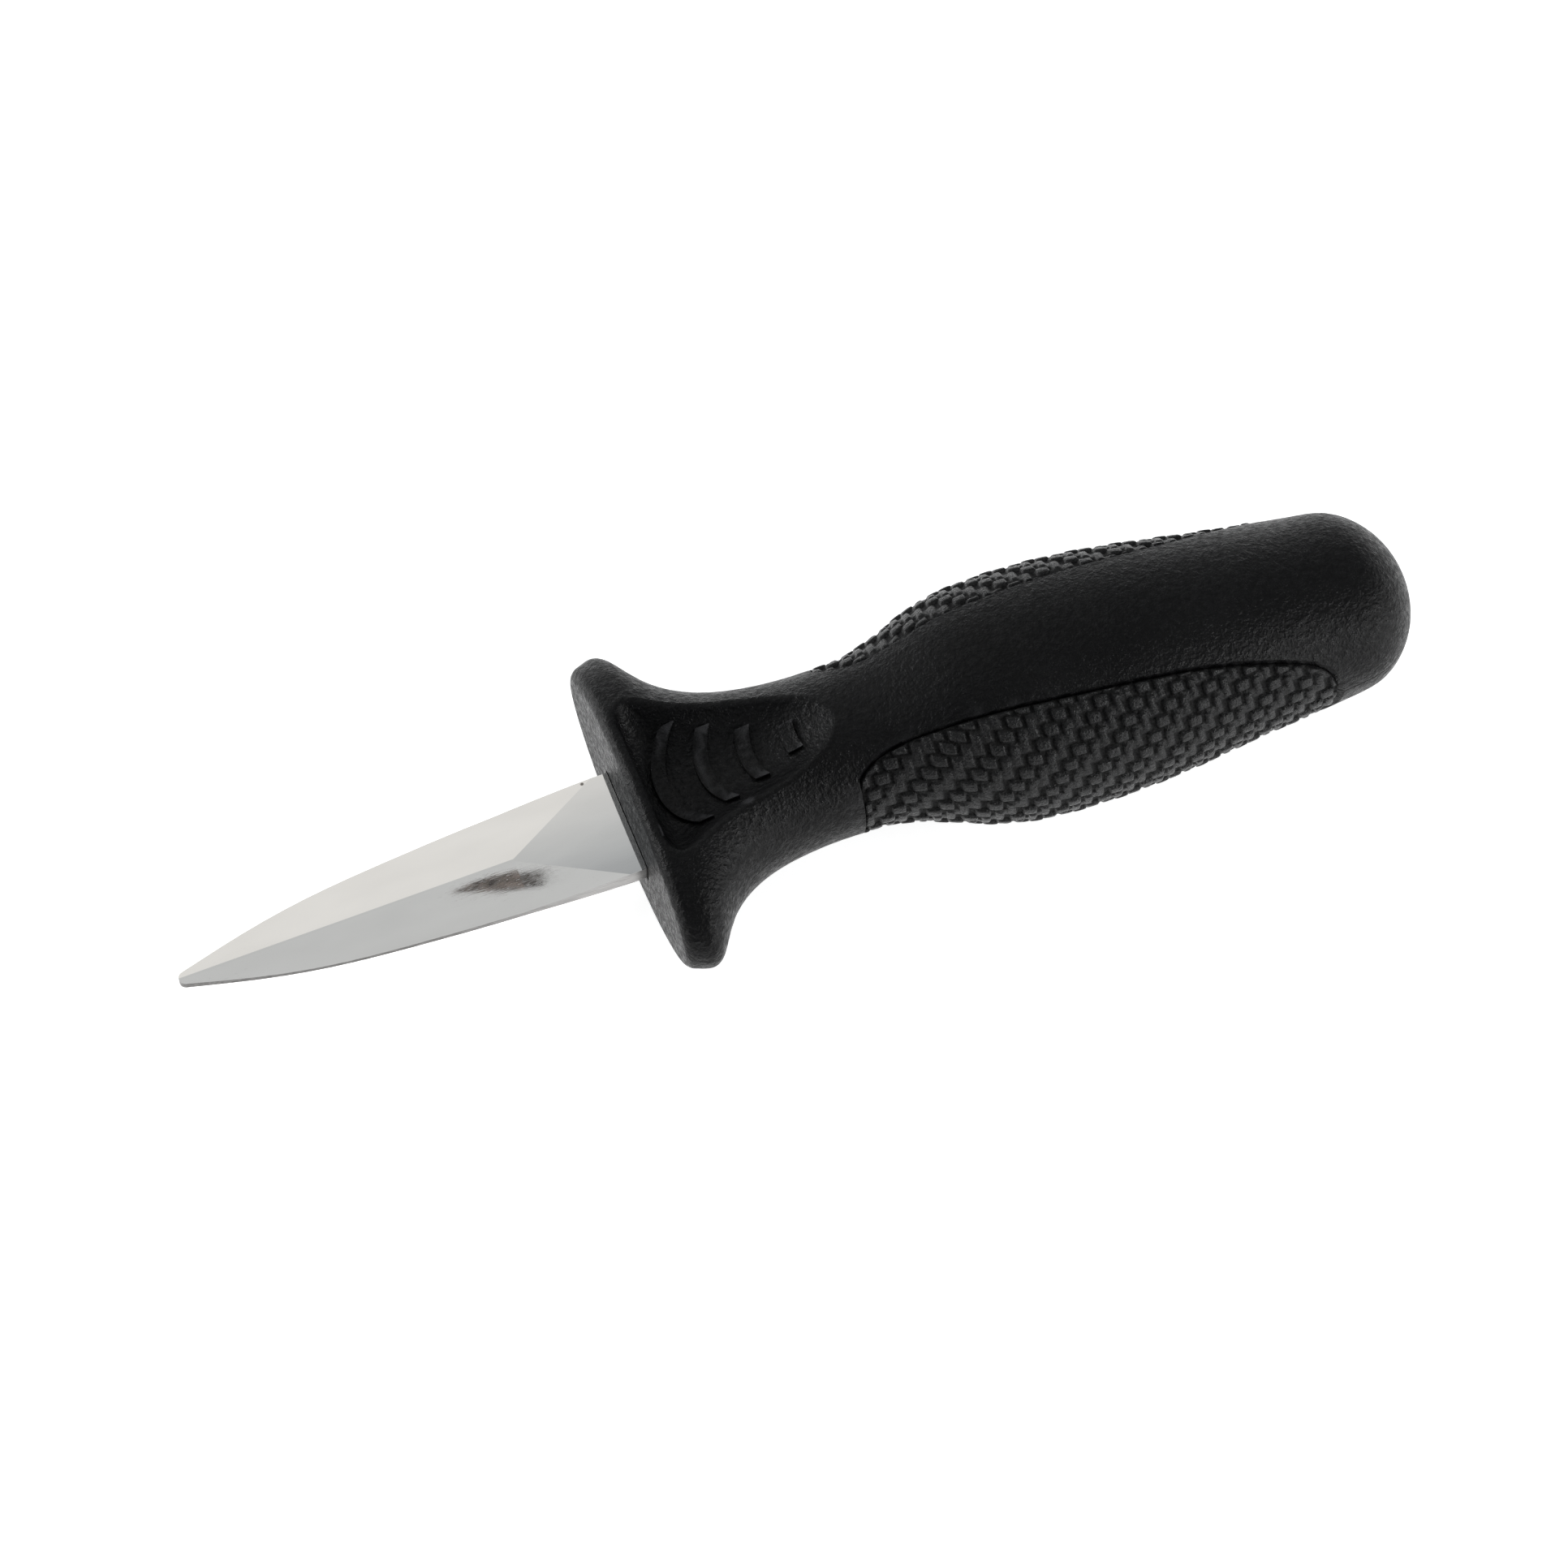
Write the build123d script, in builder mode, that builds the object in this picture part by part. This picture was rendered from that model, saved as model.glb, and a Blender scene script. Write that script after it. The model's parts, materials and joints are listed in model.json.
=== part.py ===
from build123d import *
import os
from math import atan2, cos, degrees, radians, sin, sqrt

os.makedirs("parts", exist_ok=True)

# An oyster knife lying flat, its point towards -X and its butt towards +X.
# Lengths are in millimetres, and distances run back from the front face of the finger guard.

# Blade
blade_length = 59.6
blade_width = 14.8
blade_thickness = 2.3
blade_droop = 2.8
point_radius = 0.9
point_thickness = 1.1
flat_length = 15.1
plunge_distance = 2.2
ridge_width = 0.3
edge_thickness = 0.8

# Tang
tang_length = 66.0
tang_width = 9.0
tang_thickness = 2.1
tang_shoulder = 3.0
tang_corner_radius = 2.0
tang_hole_diameter = 4.6
tang_hole_distance = 44.0
tang_hole_spacing = 13.0
tang_hole_count = 2

# Handle
handle_length = 105.6
guard_width = 46.0
guard_height = 20.8
guard_rise = 1.25
guard_thickness = 3.0
guard_rim_radius = 1.7
neck_distance = 26.0
neck_width = 22.2
neck_height = 19.6
neck_rise = 1.4
bulb_distance = 56.0
bulb_width = 33.6
bulb_height = 28.6
bulb_rise = 0.6
butt_dome = 11.0
butt_width = 24.9
butt_height = 22.0
butt_rise = -1.6
skin_thickness = 3.6

# Thumb scoop and its ribs
scoop_front = 2.0
scoop_length = 26.0
scoop_radius = 18.0
scoop_depth = 5.3
scoop_corner_radius = 1.8
scoop_ridge_radius = 0.9
rib_count = 4
rib_front = 3.9
rib_pitch = 5.6
rib_width = 1.9
rib_height = 0.55
rib_radius = 10.0
rib_span = 14.6
rib_span_loss = 3.5

# Side grips
grip_thickness = 1.6
grip_sink = 0.6
grip_front = 28.0
grip_back = 93.6

# Fits
tang_clearance = 0.15
slot_clearance = 0.35
slot_depth = 2.2
grip_clearance = 0.12
core_clearance = 0.1
overrun = 5.0

# Shares: (way along, width, height, rise) of the change from one named size to the next
flare_shares = [(0.06, 0.965, 1, 0.06), (0.13, 0.79, 1, 0.13), (0.22, 0.53, 0.97, 0.22),
                (0.35, 0.3, 0.85, 0.35), (0.5, 0.15, 0.6, 0.5), (0.75, 0.035, 0.15, 0.75)]
swell_shares = [(0.15, 0.035, 0.035, -0.08), (0.3, 0.17, 0.2, -0.22), (0.45, 0.455, 0.49, -0.28),
                (0.6, 0.745, 0.765, -0.08), (0.8, 0.95, 0.95, 0.56)]
taper_shares = [(0.17, 0.955, 0.965, 0.17), (0.34, 0.81, 0.885, 0.37), (0.52, 0.575, 0.73, 0.57),
                (0.69, 0.35, 0.52, 0.72)]
dome_turns = [20, 40, 57, 71, 82]

# Shares: (way to the point, half width) of the blade's outline
blade_shares = [(0, 1), (0.17, 0.99), (0.34, 0.935), (0.515, 0.835), (0.685, 0.69), (0.825, 0.475),
                (0.925, 0.265)]
nose_share = 0.8

# Shares: (way along, radius, depth) of the thumb scoop
scoop_shares = [(0, 1, 0.91), (0.31, 0.69, 1), (0.5, 0.58, 0.92), (0.73, 0.5, 0.69), (0.88, 0.47, 0.36),
                (1, 0.45, 0.05)]

# Shares: (way along the grip, distance from the middle in half bulb widths) of the grip's edge
grip_shares = [(0, 0.5), (0.03, 0.43), (0.09, 0.385), (0.18, 0.42), (0.32, 0.48), (0.48, 0.525),
               (0.725, 0.565), (0.885, 0.635), (0.96, 0.71), (1, 0.86)]


def between(low, high, share):
    return low + (high - low) * share


# Where the finger guard and the bulb touch the ground
guard_top = guard_rise + guard_height / 2
guard_foot = guard_height / 2 - guard_rise
bulb_foot = bulb_height / 2 - bulb_rise
dome_distance = handle_length - butt_dome
lean = degrees(atan2(bulb_foot - guard_foot, bulb_distance - guard_thickness))


def leaning_plane(angle, way):
    """A plane through the middle of the slot's mouth, its X axis along the knife."""
    along, up = cos(radians(angle)), sin(radians(angle))
    return Plane(origin=(0, 0, 0), x_dir=(way * along, 0, way * up), z_dir=(-up, 0, along))


handle_plane = leaning_plane(lean, 1)
blade_plane = leaning_plane(lean + blade_droop, -1)


def cross_plane(distance):
    """A plane across the handle, with its Y axis upwards."""
    origin = handle_plane.from_local_coords((distance, 0, 0))
    return Plane(origin=origin, x_dir=(0, 1, 0), z_dir=handle_plane.x_dir)


def handle_stations():
    """(distance, width, height, rise) of each cross-section, from the guard to the butt."""
    guard = (guard_thickness, guard_width, guard_height, guard_rise)
    neck = (neck_distance, neck_width, neck_height, neck_rise)
    bulb = (bulb_distance, bulb_width, bulb_height, bulb_rise)
    butt = (dome_distance, butt_width, butt_height, butt_rise)
    rows = [(0, guard_width - guard_rim_radius / 2, guard_height, guard_rise), guard]
    # Each span lists its shares, its two ends, and then the same ends as small and large
    spans = [(flare_shares, guard, neck, neck, guard), (swell_shares, neck, bulb, neck, bulb)]
    spans += [(taper_shares, bulb, butt, butt, bulb)]
    for shares, start, stop, small, large in spans:
        for way, wide, high, lift in shares:
            distance, rise = between(start[0], stop[0], way), between(start[3], stop[3], lift)
            width, height = between(small[1], large[1], wide), between(small[2], large[2], high)
            rows.append((distance, width, height, rise))
        rows.append(stop)
    for turn in dome_turns:
        distance, shrink = dome_distance + butt_dome * sin(radians(turn)), cos(radians(turn))
        rows.append((distance, butt_width * shrink, butt_height * shrink, butt_rise))
    return rows


def handle_sections(inset, start, stop):
    """Cross-sections of the handle's form, drawn in by an inset, between two distances."""
    sections = []
    for distance, width, height, rise in handle_stations():
        if start <= distance <= stop:
            across, up = width / 2 - inset, height / 2 - inset
            with BuildSketch(cross_plane(distance)) as section:
                with BuildLine():
                    EllipticalCenterArc((0, rise), across, up, start_angle=-90, arc_size=180)
                    EllipticalCenterArc((0, rise), across, up, start_angle=90, arc_size=180)
                make_face()
            sections.append(section.sketch)
    return sections


# Blade: a flat plate with two bevels on each face, ground to a central ridge that thins towards the point
blade_side_plane = Plane(origin=blade_plane.origin, x_dir=blade_plane.x_dir, z_dir=-blade_plane.y_dir)
bevel_reach = blade_width / 2 + overrun
bevel_slope = (blade_thickness - edge_thickness) / (blade_width - ridge_width)
cut_top = blade_thickness / 2 + overrun


def bevel_section(distance, flat_half_width, height):
    """The stock that grinding takes off one face of the blade, on one side of its flat or ridge."""
    origin = blade_plane.from_local_coords((distance, 0, 0))
    with BuildSketch(Plane(origin=origin, x_dir=blade_plane.y_dir, z_dir=blade_plane.x_dir)) as section:
        with BuildLine():
            Polyline(
                (flat_half_width, height),
                (bevel_reach, height - bevel_slope * (bevel_reach - flat_half_width)),
                (bevel_reach, cut_top),
                (flat_half_width, cut_top),
                close=True,
            )
        make_face()
    return section.sketch


def tang_outline(clearance):
    """The tang from above, with its shoulder and holes, widened by a clearance."""
    with BuildSketch(blade_plane) as outline:
        with Locations((-tang_length / 2, 0)):
            RectangleRounded(tang_length + 2 * clearance, tang_width + 2 * clearance, tang_corner_radius)
        with Locations((-tang_shoulder / 2, 0)):
            Rectangle(tang_shoulder + 2 * clearance, blade_width + 2 * clearance)
        for hole in range(tang_hole_count):
            with Locations((-tang_hole_distance - hole * tang_hole_spacing, 0)):
                Circle(tang_hole_diameter / 2 - clearance, mode=Mode.SUBTRACT)
    return outline.sketch


with BuildPart() as bevel_cut:
    loft(
        [
            bevel_section(plunge_distance, blade_width / 2, blade_thickness / 2),
            bevel_section(flat_length, ridge_width / 2, blade_thickness / 2),
        ],
        ruled=True,
    )
    loft(
        [
            bevel_section(flat_length, ridge_width / 2, blade_thickness / 2),
            bevel_section(blade_length, ridge_width / 2, point_thickness / 2),
        ],
        ruled=True,
    )
    mirror(about=blade_side_plane)
    with BuildSketch(blade_side_plane):
        with BuildLine():
            Polyline(
                (flat_length, blade_thickness / 2),
                (blade_length, point_thickness / 2),
                (blade_length, cut_top),
                (flat_length, cut_top),
                close=True,
            )
        make_face()
    extrude(amount=ridge_width / 2, both=True)
    mirror(about=blade_plane)

with BuildPart() as blade:
    with BuildSketch(blade_plane):
        with BuildLine():
            edge_points = [(way * blade_length, wide * blade_width / 2) for way, wide in blade_shares]
            edge_points.append((blade_length - nose_share * point_radius, point_radius))
            far_edge = Spline(edge_points)
            near_edge = Spline([(along, -across) for along, across in edge_points])
            ThreePointArc(far_edge @ 1, (blade_length, 0), near_edge @ 1)
            Line(far_edge @ 0, near_edge @ 0)
        make_face()
    extrude(amount=blade_thickness / 2, both=True)
    add(bevel_cut.part, mode=Mode.SUBTRACT)
    extrude(tang_outline(0), amount=tang_thickness / 2, both=True)

# The room for the tang, in the core and in the body
with BuildPart() as tang_space:
    extrude(tang_outline(tang_clearance), amount=tang_thickness / 2 + tang_clearance, both=True)

# Handle core: the inner moulding in the thick part of the handle
with BuildPart() as handle_core:
    loft(handle_sections(skin_thickness, neck_distance, dome_distance))
    add(tang_space.part, mode=Mode.SUBTRACT)

with BuildPart() as core_space:
    loft(handle_sections(skin_thickness - core_clearance, neck_distance, dome_distance))


def grip_outline(clearance):
    """The far grip's ground from above, widened by a clearance."""
    outside = bulb_width / 2 + overrun
    front, back = grip_front - clearance, grip_back + clearance
    points = [(between(front, back, way), aside * bulb_width / 2 - clearance) for way, aside in grip_shares]
    with BuildSketch(handle_plane) as outline:
        with BuildLine():
            edge = Spline(points)
            Polyline(edge @ 0, (front, outside), (back, outside), edge @ 1)
        make_face()
    return outline.sketch


def grip_block(clearance):
    with BuildPart() as block:
        extrude(grip_outline(clearance), amount=bulb_height, both=True)
    return block.part


with BuildPart() as grip_floor:
    loft(handle_sections(grip_sink + grip_thickness, neck_distance, dome_distance))

with BuildPart() as seat_floor:
    loft(handle_sections(grip_sink + grip_thickness + grip_clearance, neck_distance, dome_distance))

with BuildPart() as grip_panel_left:
    loft(handle_sections(grip_sink, neck_distance, dome_distance))
    add(grip_floor.part, mode=Mode.SUBTRACT)
    add(grip_block(0), mode=Mode.INTERSECT)

with BuildPart() as grip_panel_right:
    add(grip_panel_left.part)
    mirror(about=Plane.XZ, mode=Mode.REPLACE)

with BuildPart() as grip_seats:
    add(grip_block(grip_clearance))
    add(seat_floor.part, mode=Mode.SUBTRACT)
    mirror(about=Plane.XZ)


# Thumb scoop: a trough that rises and narrows towards the neck
def scoop_form(lift):
    with BuildPart() as form:
        sections = []
        for way, wide, deep in scoop_shares:
            radius = scoop_radius * wide
            floor = guard_top - scoop_depth * deep + lift
            with BuildSketch(cross_plane(scoop_front + scoop_length * way)) as section:
                with Locations((0, floor + radius)):
                    Circle(radius)
            sections.append(section.sketch)
        loft(sections)
        fillet(form.faces().sort_by(Axis.X)[0].edges(), scoop_corner_radius)
    return form.part


scoop = scoop_form(0)

# Ribs: bars bent like bows, each shorter than the one in front of it
with BuildPart() as ribs:
    for number in range(rib_count):
        half_span = (rib_span - rib_span_loss * number) / 2
        front = rib_front + rib_pitch * number
        bent_back = front + rib_radius - sqrt(rib_radius**2 - half_span**2)
        with BuildSketch(handle_plane):
            with BuildLine():
                fore = ThreePointArc((bent_back, -half_span), (front, 0), (bent_back, half_span))
                back_end = bent_back + rib_width
                back = ThreePointArc((back_end, -half_span), (front + rib_width, 0), (back_end, half_span))
                Line(fore @ 0, back @ 0)
                Line(fore @ 1, back @ 1)
            make_face()
        extrude(amount=guard_height)
    add(scoop, mode=Mode.INTERSECT)
    add(scoop_form(rib_height), mode=Mode.SUBTRACT)

with BuildPart() as handle_body:
    loft(handle_sections(0, 0, handle_length))
    fillet(handle_body.faces().sort_by(Axis.X)[0].edges(), guard_rim_radius)
    add(scoop, mode=Mode.SUBTRACT)
    ridge = [
        edge
        for edge in handle_body.edges(Select.LAST)
        if edge.center().Z > guard_top - scoop_depth / 2 and abs(edge.center().Y) > scoop_ridge_radius
    ]
    fillet(ridge, scoop_ridge_radius)
    add(ribs.part)
    add(grip_seats.part, mode=Mode.SUBTRACT)
    add(core_space.part, mode=Mode.SUBTRACT)
    add(tang_space.part, mode=Mode.SUBTRACT)
    with BuildSketch(blade_plane):
        Rectangle(2 * slot_depth, blade_width + 2 * slot_clearance)
    extrude(amount=blade_thickness / 2 + slot_clearance, both=True, mode=Mode.SUBTRACT)

# The knife lies on the ground, with its origin under its middle
pieces = {
    "blade": blade,
    "handle_body": handle_body,
    "handle_core": handle_core,
    "grip_panel_left": grip_panel_left,
    "grip_panel_right": grip_panel_right,
}
knife_box = Compound([piece.part for piece in pieces.values()]).bounding_box()
resting_place = Location((-knife_box.center().X, 0, -knife_box.min.Z))

for name, piece in pieces.items():
    piece.part.move(resting_place)
    piece.part.label = name
    export_step(piece.part, f"parts/{name}.step")
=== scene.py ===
import json
import math

import bmesh
import bpy
import numpy as np
from mathutils import Matrix, Vector

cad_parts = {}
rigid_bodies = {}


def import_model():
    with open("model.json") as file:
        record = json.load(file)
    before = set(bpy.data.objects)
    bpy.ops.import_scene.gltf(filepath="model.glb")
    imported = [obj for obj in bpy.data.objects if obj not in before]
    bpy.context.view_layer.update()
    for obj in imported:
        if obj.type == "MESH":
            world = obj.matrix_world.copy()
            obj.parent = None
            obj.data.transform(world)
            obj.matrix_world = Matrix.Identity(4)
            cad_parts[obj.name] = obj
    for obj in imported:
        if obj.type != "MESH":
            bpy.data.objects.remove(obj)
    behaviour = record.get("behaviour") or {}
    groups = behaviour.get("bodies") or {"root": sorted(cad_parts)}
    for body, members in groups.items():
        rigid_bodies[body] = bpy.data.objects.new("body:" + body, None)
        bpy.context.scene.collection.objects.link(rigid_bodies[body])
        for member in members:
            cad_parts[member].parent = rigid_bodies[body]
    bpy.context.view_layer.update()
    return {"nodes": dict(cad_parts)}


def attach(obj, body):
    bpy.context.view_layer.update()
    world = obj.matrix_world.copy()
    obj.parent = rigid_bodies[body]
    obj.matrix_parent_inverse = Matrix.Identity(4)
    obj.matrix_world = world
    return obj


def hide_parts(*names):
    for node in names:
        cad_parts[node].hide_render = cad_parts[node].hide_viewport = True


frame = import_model()

# The handle's own frame starts at the guard's front face, and runs along the handle, across it and up.
# Lengths in it are in millimetres until they go into a mesh.
MM = 0.001
LEAN = math.radians(4.907)
ORIGIN = np.array([-23.119, 0.0, 8.986])
ALONG = np.array([math.cos(LEAN), 0.0, math.sin(LEAN)])
ACROSS = np.array([0.0, 1.0, 0.0])
UP = np.array([-math.sin(LEAN), 0.0, math.cos(LEAN)])


def to_handle(points):
    """Points in the row frame, in metres, as (along, across, up) in millimetres."""
    away = np.asarray(points) / MM - ORIGIN
    return np.stack([away @ ALONG, away @ ACROSS, away @ UP], axis=-1)


def to_row(points):
    """Points given as (along, across, up) in millimetres, in the row frame in metres."""
    return (ORIGIN + points[..., :1] * ALONG + points[..., 1:2] * ACROSS + points[..., 2:3] * UP) * MM


def show(name, mesh, material):
    """An object in the scene for a mesh, with its material."""
    mesh.materials.append(material)
    piece = bpy.data.objects.new(name, mesh)
    bpy.context.scene.collection.objects.link(piece)
    return piece


# Node trees


class Nodes:
    """Short calls for building a node tree."""

    def __init__(self, tree):
        self.tree = tree

    def node(self, kind, settings=None, **inputs):
        made = self.tree.nodes.new("ShaderNode" + kind)
        for key, value in (settings or {}).items():
            setattr(made, key, value)
        for key, value in inputs.items():
            self.put(made.inputs[key.replace("_", " ")], value)
        return made

    def put(self, socket, value):
        if isinstance(value, bpy.types.NodeSocket):
            self.tree.links.new(value, socket)
        else:
            socket.default_value = value

    def math(self, operation, first, second=0.0):
        made = self.node("Math", {"operation": operation})
        self.put(made.inputs[0], first)
        self.put(made.inputs[1], second)
        return made.outputs[0]

    def vector(self, operation, first, second):
        made = self.node("VectorMath", {"operation": operation})
        self.put(made.inputs[0], first)
        self.put(made.inputs[1], second)
        return made

    def scaled(self, vector, scale):
        """The coordinates multiplied by a number for each axis."""
        return self.vector("MULTIPLY", vector, scale).outputs[0]

    def axis(self, vector, letter):
        return self.node("SeparateXYZ", Vector=vector).outputs[letter]

    def noise(self, vector, scale, detail, rough=0.5):
        return self.node("TexNoise", Scale=scale, Detail=detail, Roughness=rough, Vector=vector).outputs[0]

    def spread(self, value, low, high, to_low=0.0, to_high=1.0):
        """The value's range from low to high, stretched to another range and cut there."""
        made = self.node("MapRange")
        for socket, number in zip(made.inputs, (value, low, high, to_low, to_high)):
            self.put(socket, number)
        return made.outputs[0]

    def colours(self, value, first, second):
        """A ramp between two colours, each given with its place."""
        made = self.node("ValToRGB")
        for element, (place, colour) in zip(made.color_ramp.elements, (first, second)):
            element.position = place
            element.color = (*colour, 1.0)
        self.put(made.inputs[0], value)
        return made.outputs[0]

    def blend(self, share, first, second):
        """The first colour where the share is 0, and the second where it is 1."""
        made = self.node("Mix", {"data_type": "RGBA"})
        self.put(made.inputs[0], share)
        self.put(made.inputs[6], first)
        self.put(made.inputs[7], second)
        return made.outputs[2]

    def bump(self, height, distance, strength=1.0):
        return self.node("Bump", Strength=strength, Distance=distance, Height=height)


class Material(Nodes):
    """A material whose surface is one principled shader."""

    def __init__(self, name):
        self.material = bpy.data.materials.new(name)
        self.material.use_nodes = True
        super().__init__(self.material.node_tree)
        self.tree.nodes.clear()
        output = self.node("OutputMaterial")
        self.shader = self.node("BsdfPrincipled")
        self.tree.links.new(self.shader.outputs[0], output.inputs["Surface"])

    def surface(self, **inputs):
        """Sets the shader's sockets, and gives the finished material."""
        for key, value in inputs.items():
            self.put(self.shader.inputs[key.replace("_", " ")], value)
        return self.material

    def place(self):
        return self.node("TexCoord").outputs["Object"]

    def handle_place(self):
        """Object coordinates turned so that X runs along the handle."""
        return self.node("Mapping", Rotation=(0.0, LEAN, 0.0), Vector=self.place()).outputs[0]


# Materials

# How fast the blade's faces fall away from its middle, in metres per square metre
CROWN = 2.0

# How fine the blade's grinding lines, broad waves and short marks are along it and across it, per metre, and
# how high the lines and the waves stand, in metres
LINES = (260.0, 7000.0, 7000.0)
WAVES = (60.0, 200.0, 200.0)
MARKS = (1100.0, 5200.0, 5200.0)
LINE_HEIGHT = 0.0000004
WAVE_HEIGHT = 0.000006

# The blade's edges get a lighter tone over this stretch of the row frame's X, in metres, and its arrises
# have this painted shade, which stands in for the dark surroundings that they mirror
EDGE_LIGHTENS = (-0.05, -0.03)
ARRIS_PAINTED_SHADE = (0.07, 0.068, 0.065)

# The pit's middle, on the blade's flat by its far edge, in metres in the row frame, and the distances from
# there over which it ends
PIT = (-0.02668, 0.00704, 0.00966)
PIT_ENDS = (0.00015, 0.0003)

# How fine the plastic's grain, its speckle and its broad unevenness are, per metre. In metres, how deep the
# grain is, and the distances from the parting line's middle over which that line ends.
GRAIN = 2600.0
SPECKLE = 1250.0
UNEVENNESS = 60.0
GRAIN_DEPTH = 0.0002
PARTING_ENDS = (0.0001, 0.0002)

# How fine the lines on a strand are along it and across it, per millimetre, how fine the grip's grain is, per
# metre, and how deep the lines are, in metres
ALONG_STRAND = 0.7
ACROSS_STRAND = 9.0
GRIP_GRAIN = 2800.0
STRAND_DEPTH = 0.00008

# The parting line runs this far under the handle's own axis, in millimetres. Its height along the handle's
# upward axis is in metres.
PARTING_DROP = 1.4
PARTING = float(ORIGIN @ UP - PARTING_DROP) * MM


def steel_material():
    """Polished stainless steel, with faint grinding lines along the blade and a slight crown across it."""
    made = Material("polished_steel")
    place = made.place()
    lines = made.noise(made.scaled(place, LINES), 1.0, 2.0)
    broad = made.noise(made.scaled(place, WAVES), 1.0, 2.0)
    marks = made.noise(made.scaled(place, MARKS), 1.0, 2.0)
    tone = made.colours(broad, (0.3, (0.69, 0.685, 0.675)), (0.7, (0.74, 0.735, 0.725)))
    # The edges all round are rougher and darker than the polished faces. They are darkest at the arris, where
    # the tone is painted shade for the dark surroundings that it mirrors. Towards the guard the edges get a
    # lighter tone.
    facing = made.math("ABSOLUTE", made.axis(made.node("NewGeometry").outputs["True Normal"], "Z"))
    edge = made.spread(facing, 0.15, 0.3, 1.0, 0.0)
    arris = made.math("MULTIPLY", made.spread(facing, 0.2, 0.3), made.spread(facing, 0.9, 0.95, 1.0, 0.0))
    edge_tone_and_painted_shade = made.colours(lines, (0.3, ARRIS_PAINTED_SHADE), (0.7, (0.22, 0.215, 0.21)))
    lighter_edge_tone = made.colours(lines, (0.3, (0.3, 0.295, 0.29)), (0.7, (0.5, 0.49, 0.48)))
    edge_tone_and_painted_shade = made.blend(made.spread(made.axis(place, "X"), *EDGE_LIGHTENS), edge_tone_and_painted_shade, lighter_edge_tone)
    # Painted shade: the arrises' colour is darkened to stand in for the dark surroundings that they mirror
    tone = made.blend(arris, made.blend(edge, tone, edge_tone_and_painted_shade), (*ARRIS_PAINTED_SHADE, 1.0))
    # One small pit
    pit = made.spread(made.vector("DISTANCE", place, PIT).outputs["Value"], *PIT_ENDS, 1.0, 0.0)
    tone = made.blend(pit, tone, (0.16, 0.15, 0.14, 1.0))
    rough = made.spread(lines, 0.3, 0.7, 0.01, 0.04)
    rough = made.math("ADD", rough, made.spread(broad, 0.35, 0.65, 0.0, 0.015))
    rough = made.math("ADD", rough, made.spread(marks, 0.66, 0.74, 0.0, 0.1))
    rough = made.math("ADD", rough, made.math("MULTIPLY", made.math("ADD", edge, pit), 0.25))
    across = made.axis(place, "Y")
    height = made.math("MULTIPLY", made.math("MULTIPLY", across, across), -CROWN)
    height = made.math("ADD", height, made.math("MULTIPLY", broad, WAVE_HEIGHT))
    height = made.math("ADD", height, made.math("MULTIPLY", lines, LINE_HEIGHT))
    normal = made.bump(height, 1.0).outputs[0]
    return made.surface(Base_Color=tone, Metallic=1.0, Roughness=rough, Normal=normal)


def plastic_material(name, dark, light, rough_low, rough_high, parting=None):
    """Black moulded plastic with a spark-eroded grain, and with a parting line if its height is given."""
    made = Material(name)
    place = made.handle_place()
    grain = made.noise(place, GRAIN, 3.0, 0.65)
    speck = made.noise(place, SPECKLE, 2.0, 0.65)
    broad = made.noise(place, UNEVENNESS, 3.0)
    mixed = made.math("ADD", made.math("MULTIPLY", speck, 0.7), made.math("MULTIPLY", broad, 0.3))
    tone = made.colours(mixed, (0.42, dark), (0.72, light))
    uneven = made.spread(broad, 0.3, 0.7, -0.03, 0.03)
    rough = made.math("ADD", made.spread(speck, 0.35, 0.65, rough_high, rough_low), uneven)
    # Painted highlight: convex edges, such as the ribs', get a lighter tone that stands in for the light they
    # catch
    painted_edge_highlight = made.spread(made.node("NewGeometry").outputs["Pointiness"], 0.53, 0.6)
    tone = made.blend(painted_edge_highlight, tone, (0.035, 0.035, 0.037, 1.0))
    height = made.math("ADD", made.math("MULTIPLY", grain, 0.7), speck)
    if parting is not None:
        away = made.math("ABSOLUTE", made.math("SUBTRACT", made.axis(place, "Z"), parting))
        line = made.spread(away, *PARTING_ENDS, 1.0, 0.0)
        tone = made.blend(line, tone, (0.001, 0.001, 0.001, 1.0))
        height = made.math("SUBTRACT", height, made.math("MULTIPLY", line, 1.2))
    normal = made.bump(height, GRAIN_DEPTH).outputs[0]
    return made.surface(Base_Color=tone, Roughness=rough, Specular_IOR_Level=0.17, Normal=normal)


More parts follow.
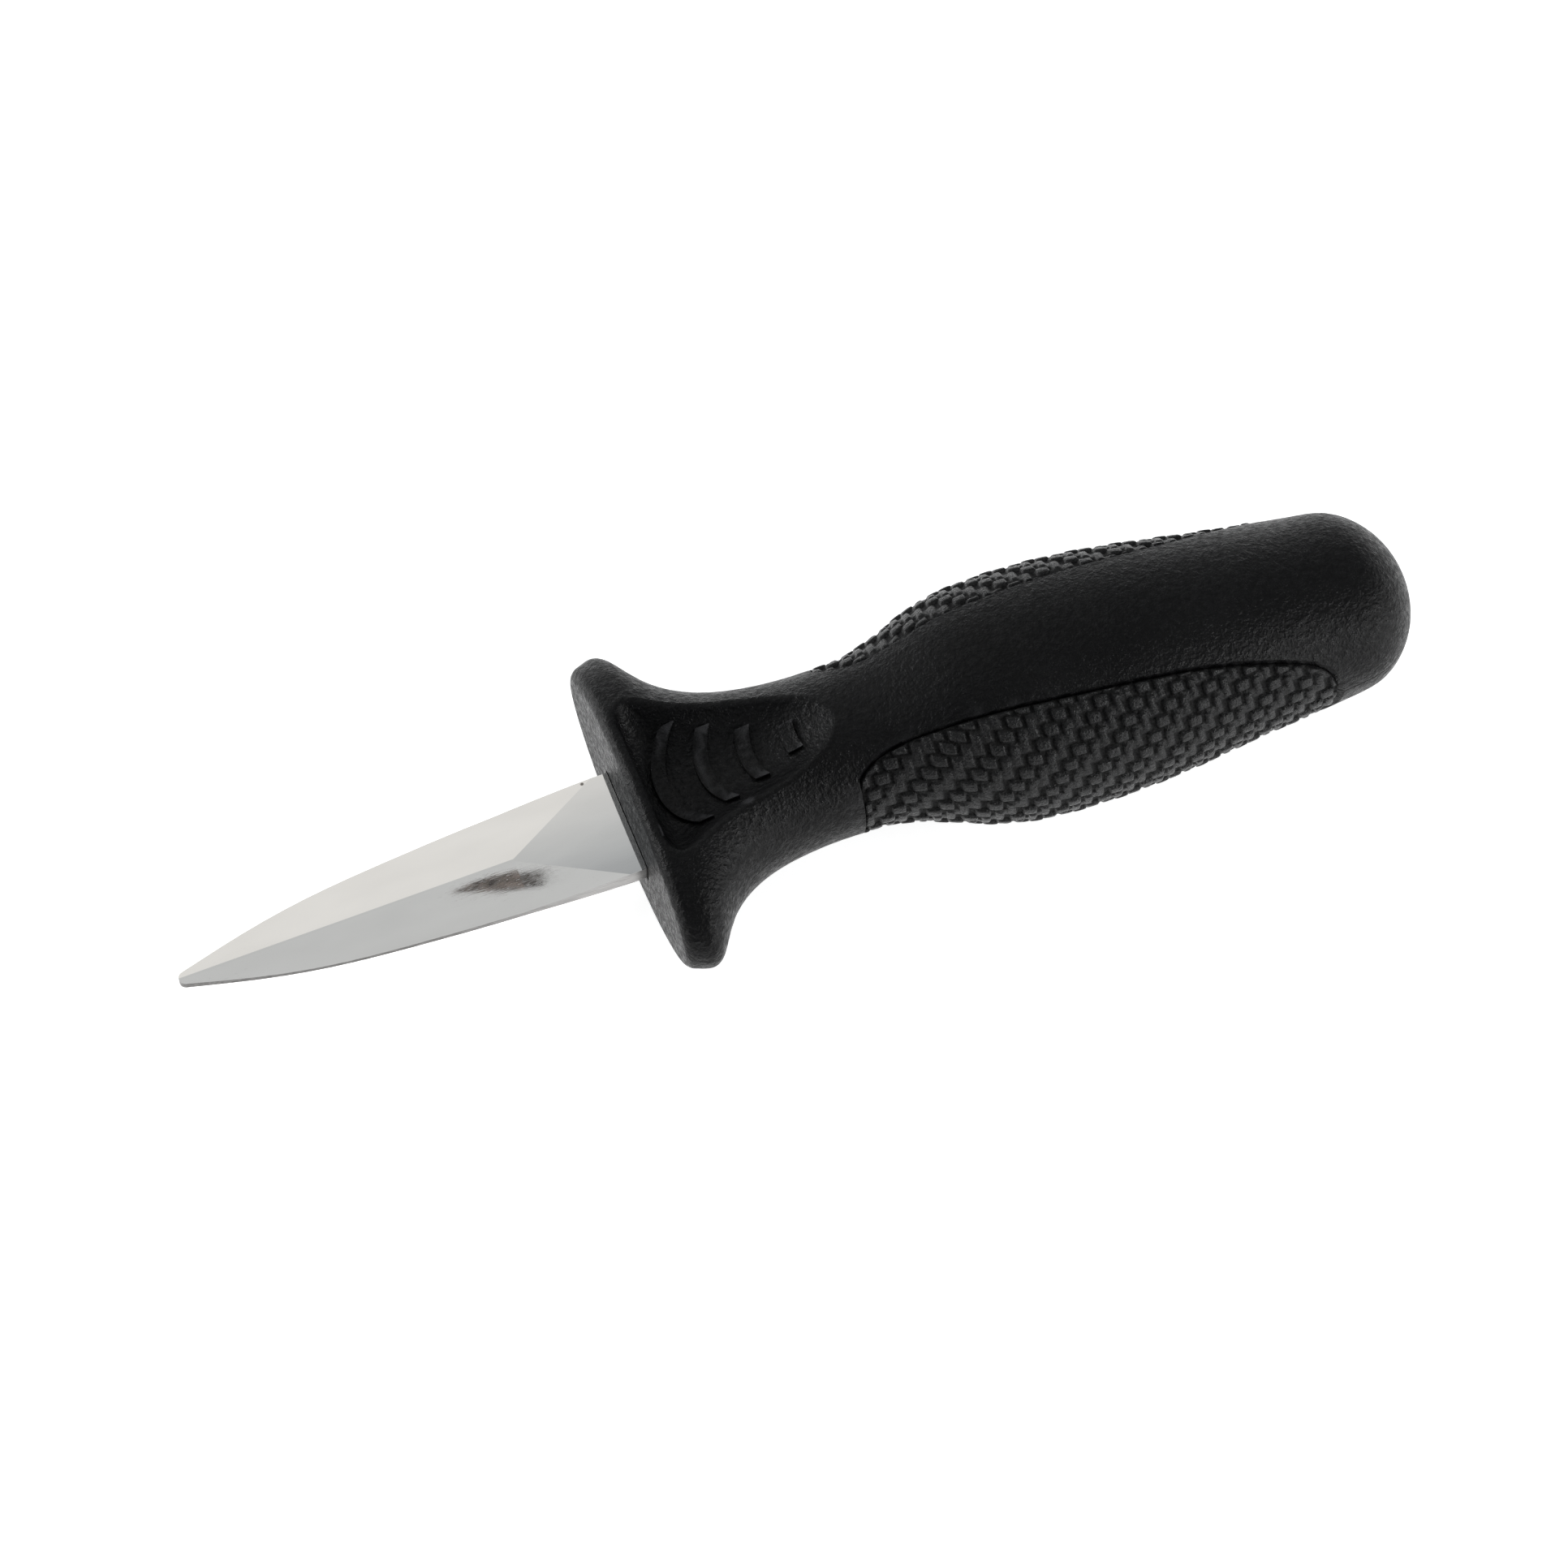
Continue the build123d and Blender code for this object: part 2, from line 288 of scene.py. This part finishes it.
def grip_material():
    """Black textured grip moulding, with fine lines along each strand, and rougher slots between them with
    painted shade.
    """
    made = Material("grip_rubber")
    strands = made.node("UVMap", {"uv_map": "strands"}).outputs[0]
    way = made.node("Attribute", {"attribute_name": "strand_way"}).outputs["Fac"]
    top = made.node("Attribute", {"attribute_name": "strand_top"}).outputs["Fac"]
    # The strands' coordinates run along the handle and round it
    lines_round = made.noise(made.scaled(strands, (ACROSS_STRAND, ALONG_STRAND, 1.0)), 1.0, 2.0)
    lines_along = made.noise(made.scaled(strands, (ALONG_STRAND, ACROSS_STRAND, 1.0)), 1.0, 2.0)
    choice = made.node("Mix", {"data_type": "FLOAT"})
    made.put(choice.inputs[0], way)
    made.put(choice.inputs[2], lines_round)
    made.put(choice.inputs[3], lines_along)
    lines = choice.outputs[0]
    grain = made.noise(made.place(), GRIP_GRAIN, 2.0, 0.7)
    raised = made.spread(top, 0.12, 0.5)
    mixed = made.math("ADD", made.math("MULTIPLY", lines, 0.5), made.math("MULTIPLY", grain, 0.5))
    tone = made.colours(mixed, (0.38, (0.001, 0.001, 0.0011)), (0.62, (0.01, 0.01, 0.0105)))
    # Painted shade: the slots between the raised strands get a darker tone, standing in for the shade that
    # falls in them
    tone = made.blend(raised, (0.0008, 0.0008, 0.0008, 1.0), tone)
    dull = made.spread(raised, 0.0, 1.0, 0.4, 0.0)
    rough = made.math("ADD", made.spread(grain, 0.35, 0.65, 0.5, 0.16), dull)
    bump = made.bump(lines, STRAND_DEPTH, 0.6)
    made.put(bump.inputs["Normal"], made.bump(grain, GRAIN_DEPTH).outputs[0])
    return made.surface(Base_Color=tone, Roughness=rough, Specular_IOR_Level=0.3, Normal=bump.outputs[0])


def floor_material():
    """A white light table."""
    made = Material("studio_floor")
    mottle = made.noise(made.place(), 8.0, 2.0)
    tone = made.colours(mottle, (0.3, (0.88, 0.88, 0.88)), (0.7, (0.9, 0.9, 0.9)))
    return made.surface(
        Base_Color=tone,
        Roughness=0.9,
        Specular_IOR_Level=0.1,
        Emission_Color=(1.0, 1.0, 1.0, 1.0),
        Emission_Strength=0.78,
    )


def card_material(name, grain, light):
    """Mottled dark card."""
    made = Material(name)
    mottle = made.noise(made.place(), grain, 3.0, 0.8)
    tone = made.colours(mottle, (0.47, (0.002, 0.002, 0.002)), (0.58, light))
    return made.surface(Base_Color=tone, Roughness=0.8)


STEEL = steel_material()
BODY = plastic_material("handle_plastic", (0.0008, 0.0008, 0.001), (0.009, 0.009, 0.0095), 0.24, 0.5, PARTING)
CORE = plastic_material("core_plastic", (0.008, 0.008, 0.0085), (0.014, 0.014, 0.015), 0.46, 0.58)
GRIP = grip_material()

for node, material in (("blade", STEEL), ("handle_body", BODY), ("handle_core", CORE)):
    piece = frame["nodes"][node]
    piece.data.materials.clear()
    piece.data.materials.append(material)

# A fine round on the arrises, as polishing leaves the blade's and moulding the handle's
for node, width in (("blade", 0.2), ("handle_body", 0.25)):
    rounding = frame["nodes"][node].modifiers.new("rounding", "BEVEL")
    rounding.width = width * MM
    rounding.segments = 2
    rounding.limit_method = "ANGLE"
    rounding.angle_limit = math.radians(35.0)

# Woven side grips, in millimetres

# The panel's thickness, the length of its mesh's steps along the handle and their number round it. The back
# has a point only every so many steps each way.
WALL = 1.6
STEP = 0.17
RINGS = 176
BACK_STEPS = 12
BACK_RINGS = 16

# The mesh stops just short of the panel's two ends. Over the last share of its length, towards the butt, its
# steps crowd together.
END_GAP = 0.004
CROWDED = 0.07

# The widths that a strand round the handle and one along it take up, the length in which the weave repeats,
# the full height of its relief, and the distances from the rim between which it grows to that
COLUMN = 1.44
ROW = 1.72
REPEAT = 4.0 * COLUMN
RELIEF = 0.58
RIM = (-0.1, 0.22)

# A block of a strand along the handle and one of a strand round it: half its size along the handle, half its
# size round it, and the width of its rounded edge
ALONG_BLOCK = (0.94, 0.8, 0.3)
AROUND_BLOCK = (0.54, 1.38, 0.27)

# The first kind of block has its middle here in the repeat. Where its strand runs under, it shows again at
# this share of the full height, from the first of these two stretches of the repeat to the second.
ALONG_MIDDLE = 2.1
UNDER = 0.42
UNDER_STARTS = (3.3, 3.9)
UNDER_ENDS = (6.1, 6.45)

# The second kind starts here in the repeat, at this share of the full height, and for each millimetre down it
# slants this far and loses this share. Its middle is this far down.
AROUND_START = 3.9595
AROUND_TOP = 0.98
SLANT = 0.09
SINK = 0.07
AROUND_MIDDLE = 1.86


def smooth(value, low, high):
    share = np.clip((value - low) / (high - low), 0.0, 1.0)
    return share * share * (3.0 - 2.0 * share)


def block(along, around, half_along, half_around, edge):
    """A rounded block's height, which is 1 at its middle, at distances from there."""
    past_along = np.maximum(np.abs(along) - (half_along - edge), 0.0) / edge
    past_around = np.maximum(np.abs(around) - (half_around - edge), 0.0) / edge
    fall = np.clip(1.0 - (past_along**2 + past_around**2) ** 1.25, 0.0, 1.0)
    crown = 1.0 - 0.1 * (along / half_along) ** 2 - 0.14 * (around / half_around) ** 2
    return np.sqrt(fall) * crown


def weave(along, around):
    """The height share of a two-over two-under twill of flat strands, and 1 where one along is on top."""
    row = np.floor(-around / ROW)
    down = -around - row * ROW
    here = np.mod(along + COLUMN * row, REPEAT)
    height = np.zeros_like(here)
    for turn in (-REPEAT, 0.0, REPEAT):
        # The strand along the handle, low where it runs under, and its raised block
        low = UNDER * np.sqrt(np.clip(1.0 - (2.0 * down / ROW - 1.0) ** 4, 0.0, 1.0))
        low = low * smooth(here + turn, *UNDER_STARTS) * (1.0 - smooth(here + turn, *UNDER_ENDS))
        height = np.maximum(height, low)
        height = np.maximum(height, block(here + turn - ALONG_MIDDLE, down - 0.5 * ROW, *ALONG_BLOCK))
    way = height > 0.3
    for above in (0, 1):
        for turn in (-REPEAT, 0.0, REPEAT):
            # The strand round the handle, which starts in this row or in the one above
            fall = down + above * ROW
            middle = AROUND_START + SLANT * fall
            tall = block(here + turn - above * COLUMN - middle, fall - AROUND_MIDDLE, *AROUND_BLOCK)
            tall = tall * (AROUND_TOP - SINK * fall)
            way = way & (tall < height)
            height = np.maximum(height, tall)
    return height, way.astype(float)


def panel(node):
    """A CAD panel's points, in the handle's frame, and its edges as pairs of point numbers."""
    mesh = frame["nodes"][node].data
    points = np.empty(len(mesh.vertices) * 3)
    mesh.vertices.foreach_get("co", points)
    edges = np.empty(len(mesh.edges) * 2, dtype=int)
    mesh.edges.foreach_get("vertices", edges)
    return to_handle(points.reshape(-1, 3)), edges.reshape(-1, 2)


def stations_between(front, back):
    share = np.linspace(0.0, 1.0, int((back - front) / STEP) + 1)
    length = back - front - 2.0 * END_GAP
    even = front + END_GAP + length * share
    crowded = back - END_GAP - length * (1.0 - share) ** 2 / CROWDED
    return np.sort(np.where(share > 1.0 - CROWDED, crowded, even))


def grip_sections(points, edges, stations):
    """Columns of the panel's half width, half height, middle height and edge distance at the stations."""
    first, second = points[edges[:, 0]], points[edges[:, 1]]
    rows = []
    for station in stations:
        low, high = first[:, 0] - station, second[:, 0] - station
        crossing = low * high < 0.0
        share = (low[crossing] / (low[crossing] - high[crossing]))[:, None]
        cut = first[crossing] + (second[crossing] - first[crossing]) * share
        aside, up = np.abs(cut[:, 1]), cut[:, 2]
        rows.append((aside.max(), up.max(), up.min(), aside.min()))
    half_width, top, bottom, edge = np.array(rows).T[:, :, None]
    reach = np.sqrt(np.maximum(1.0 - (edge / half_width) ** 2, 1e-6))
    return half_width, (top - bottom) / 2.0 / reach, (top + bottom) / 2.0, edge


def skins(points, edges, side):
    """The panel's woven outer skin and plain inner one, and what the material reads at each point."""
    front, back = points[:, 0].min(), points[:, 0].max()
    stations = stations_between(front, back)
    half_width, half_height, middle, edge = grip_sections(points, edges, stations)
    turn = np.linspace(-1.0, 1.0, RINGS + 1)[None, :] * np.arccos(np.clip(edge / half_width, -1.0, 1.0))
    cos, sin = np.cos(turn), np.sin(turn)
    aside, up = half_width * cos, half_height * sin
    # Arc lengths round each section, from its middle
    steps = np.hypot(np.diff(aside, axis=1), np.diff(up, axis=1))
    around = np.concatenate([np.zeros((len(stations), 1)), np.cumsum(steps, axis=1)], axis=1)
    around -= around[:, RINGS // 2][:, None]
    along = np.repeat(stations[:, None], RINGS + 1, axis=1)
    height, way = weave(along, around)
    # The weave fades out at the rim
    slope = np.gradient(around[:, -1], stations)
    rim = (around[:, -1][:, None] - np.abs(around)) / np.sqrt(1.0 + slope[:, None] ** 2)
    top = height * smooth(np.minimum(rim, along - front), *RIM)
    normal_aside, normal_up = cos / half_width, sin / half_height
    lift = top * RELIEF / np.hypot(normal_aside, normal_up)
    outer_aside = aside + normal_aside * lift
    outer = np.stack([along, outer_aside * side, middle + up + normal_up * lift], axis=-1)
    inner_aside = np.minimum(np.maximum((half_width - WALL) * cos, 0.0), aside)
    inner = np.stack([along, inner_aside * side, middle + (half_height - WALL) * sin], axis=-1)
    return outer, inner, np.stack([along, around], axis=-1), way, top


def back_skin(inner, index):
    """Points and faces of the back, with only its rim and a few points inside, and of the wall round it."""
    rows, columns = index.shape
    keep_rows = sorted(set(range(0, rows, BACK_STEPS)) | {rows - 1})
    keep_columns = sorted(set(range(0, columns, BACK_RINGS)) | {columns - 1})
    back = -np.ones((rows, columns), dtype=int)
    points = []
    for row, column in np.ndindex(rows, columns):
        on_rim = row in (0, rows - 1) or column in (0, columns - 1)
        if on_rim or (row in keep_rows and column in keep_columns):
            back[row, column] = index.size + len(points)
            points.append(inner[row, column])

    def corners(low, high, left, right):
        """The steps round a rectangle of the grid, each corner once."""
        loop = [(low, column) for column in range(left, right)]
        loop += [(row, right) for row in range(low, high)]
        loop += [(high, column) for column in range(right, left, -1)]
        return loop + [(row, left) for row in range(high, low, -1)]

    faces = []
    for low, high in zip(keep_rows[:-1], keep_rows[1:]):
        for left, right in zip(keep_columns[:-1], keep_columns[1:]):
            loop = corners(low, high, left, right)
            faces.append([back[corner] for corner in loop if back[corner] >= 0])
    border = corners(0, rows - 1, 0, columns - 1)
    for corner, following in zip(border, border[1:] + border[:1]):
        faces.append([index[corner], index[following], back[following], back[corner]])
    return np.array(points), faces


def grip(name, node, side):
    """A woven grip in place of a CAD panel, on the far side (1) or the near one (-1)."""
    outer, inner, strands, way, top = skins(*panel(node), side)
    index = np.arange(way.size).reshape(way.shape)
    quads = np.stack([index[:-1, :-1], index[1:, :-1], index[1:, 1:], index[:-1, 1:]], axis=-1)
    back_points, back_faces = back_skin(inner, index)
    faces = quads.reshape(-1, 4).tolist() + [[int(corner) for corner in loop] for loop in back_faces]
    if side < 0.0:
        faces = [loop[::-1] for loop in faces]
    points = np.concatenate([to_row(outer).reshape(-1, 3), to_row(back_points)])
    made = bpy.data.meshes.new(name)
    made.from_pydata(points.tolist(), [], faces)
    made.update()
    flat = np.zeros((len(points), 2))
    flat[: way.size] = strands.reshape(-1, 2)
    corners = np.empty(len(made.loops), dtype=int)
    made.loops.foreach_get("vertex_index", corners)
    made.uv_layers.new(name="strands").data.foreach_set("uv", flat[corners].reshape(-1))
    for word, amount in (("strand_way", way), ("strand_top", top)):
        values = np.zeros(len(points))
        values[: way.size] = amount.reshape(-1)
        made.attributes.new(word, "FLOAT", "POINT").data.foreach_set("value", values)
    work = bmesh.new()
    work.from_mesh(made)
    bmesh.ops.remove_doubles(work, verts=work.verts, dist=1e-6)
    bmesh.ops.recalc_face_normals(work, faces=work.faces)
    for face in work.faces:
        face.smooth = len(face.verts) == 4
    work.to_mesh(made)
    work.free()
    piece = show(name, made, GRIP)
    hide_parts(node)
    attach(piece, "root")


grip("grip_weave_left", "grip_panel_left", 1.0)
grip("grip_weave_right", "grip_panel_right", -1.0)

# Floor, cards, lights and camera, in metres

FLOOR_REACH = 3.0

# The knife's middle, which the camera is aimed beside
MIDDLE = Vector((0.0, 0.0, 0.012))

# Two dark cards, one for each facet of the near bevel, which mirrors them as one dark streak: their outlines
# in millimetres from the places that they hang at
NEAR_CARD = [
    (-8.2, -2.1),
    (-5.2, -1.0),
    (-1.6, -0.7),
    (0.1, -0.9),
    (3.3, -2.6),
    (6.0, -4.5),
    (6.0, -16.5),
    (-1.2, -10.0),
]
NEAR_CARD_PLACE = (-0.0599, 0.096, 0.3429)
HIGH_CARD = [(-5.4, 24.0), (3.4, 5.9), (2.7, -16.2), (-6.6, 0.0)]
HIGH_CARD_PLACE = (-0.1755, 0.26, 1.0)

# The surround gets brighter this way, and has a broad soft spot in this direction: each with the range of the
# cosine to it, and the brightness at both ends
BRIGHTER = ((-0.3, 0.8, 0.55), -0.3, 0.9, 0.08, 0.46)
SPOT = ((-0.03, 0.72, 0.69), 0.925, 0.975, 0.0, 0.52)
COOL = (0.93, 0.97, 1.0)
WARM = (1.0, 0.985, 0.955)


def floor():
    low, high = -FLOOR_REACH, FLOOR_REACH
    corners = [(low, low, 0.0), (high, low, 0.0), (high, high, 0.0), (low, high, 0.0)]
    made = bpy.data.meshes.new("studio_floor")
    made.from_pydata(corners, [], [(0, 1, 2, 3)])
    piece = show("studio_floor", made, floor_material())


def card(name, place, outline, grain, light):
    """A small dark card above the far side, which the camera doesn't see."""
    work = bmesh.new()
    face = work.faces.new([work.verts.new((x * MM, y * MM, 0.0)) for x, y in outline])
    raised = bmesh.ops.extrude_face_region(work, geom=[face])["geom"]
    top = [part for part in raised if isinstance(part, bmesh.types.BMVert)]
    bmesh.ops.translate(work, vec=(0.0, 0.0, MM), verts=top)
    bmesh.ops.recalc_face_normals(work, faces=work.faces)
    made = bpy.data.meshes.new(name)
    work.to_mesh(made)
    work.free()
    piece = show(name, made, card_material(name, grain, light))
    piece.location = place
    piece.visible_camera = False


def softbox(name, azimuth, elevation, distance, width, height, level, colour=(1.0, 1.0, 1.0)):
    """A rectangular light, given by the direction that it shines from and by how bright its face is."""
    turn, lift = math.radians(azimuth), math.radians(elevation)
    away = Vector((math.cos(turn) * math.cos(lift), math.sin(turn) * math.cos(lift), math.sin(lift)))
    data = bpy.data.lights.new(name, "AREA")
    data.shape = "RECTANGLE"
    data.size, data.size_y = width, height
    data.energy = level * math.pi * width * height
    data.color = colour
    lamp = bpy.data.objects.new(name, data)
    bpy.context.scene.collection.objects.link(lamp)
    lamp.location = away * distance
    lamp.rotation_mode = "QUATERNION"
    lamp.rotation_quaternion = away.to_track_quat("Z", "Y")
    return lamp


def world():
    """An even surround, dimmer on the near right, with one broad soft spot on the far side."""
    made = bpy.data.worlds.new("studio")
    made.use_nodes = True
    nodes = Nodes(made.node_tree)
    place = nodes.node("TexCoord").outputs["Generated"]

    def level(toward, *numbers):
        cosine = nodes.vector("DOT_PRODUCT", place, Vector(toward).normalized()).outputs["Value"]
        return nodes.spread(cosine, *numbers)

    surround, spot = level(*BRIGHTER), level(*SPOT)
    tint, strength = made.node_tree.nodes["Background"].inputs[:2]
    nodes.put(strength, nodes.math("ADD", surround, spot))
    nodes.put(tint, nodes.colours(spot, (0.0, COOL), (SPOT[-1], WARM)))
    bpy.context.scene.world = made


def camera(azimuth, elevation, roll, distance, lens, aside, upward):
    """A camera that looks from an azimuth and elevation, aimed beside the knife's middle."""
    turn, lift, tilt = math.radians(azimuth), math.radians(elevation), math.radians(roll)
    forward = Vector((-math.sin(turn) * math.cos(lift), math.cos(turn) * math.cos(lift), -math.sin(lift)))
    level = Vector((math.cos(turn), math.sin(turn), 0.0))
    rise = level.cross(forward)
    right = level * math.cos(tilt) + rise * math.sin(tilt)
    top = rise * math.cos(tilt) - level * math.sin(tilt)
    aim = MIDDLE + level * aside + rise * upward
    data = bpy.data.cameras.new("camera")
    data.lens = lens
    data.sensor_width = 36.0
    data.clip_start, data.clip_end = 0.01, 20.0
    piece = bpy.data.objects.new("camera", data)
    bpy.context.scene.collection.objects.link(piece)
    axes = Matrix((right, top, -forward)).transposed()
    piece.matrix_world = Matrix.Translation(aim - forward * distance) @ axes.to_4x4()
    bpy.context.scene.camera = piece


floor()
card("studio_flag_near", NEAR_CARD_PLACE, NEAR_CARD, 420.0, (0.24, 0.195, 0.17))
card("studio_flag_high", HIGH_CARD_PLACE, HIGH_CARD, 250.0, (0.12, 0.1, 0.09))
world()
softbox("overhead", 100.0, 82.0, 1.2, 1.0, 0.55, 0.32, (1.0, 0.975, 0.935))
left_low = softbox("left_low", 155.0, 14.0, 0.9, 0.6, 0.25, 10.0)
right_low = softbox("right_low", -42.0, 22.0, 0.9, 0.5, 0.3, 9.0)

# The two low lights leave out the blade, which would mirror them as plain white from other sides
lit_low = bpy.data.collections.new("lit_low")
for piece in bpy.context.scene.objects:
    if piece.type == "MESH" and piece != frame["nodes"]["blade"]:
        lit_low.objects.link(piece)
for lamp in (left_low, right_low):
    lamp.light_linking.receiver_collection = lit_low

bpy.context.scene.view_settings.view_transform = "Standard"
camera(
    azimuth=-28.142,
    elevation=57.903,
    roll=8.83,
    distance=1.0728,
    lens=195.37,
    aside=-0.001706,
    upward=-0.002735,
)
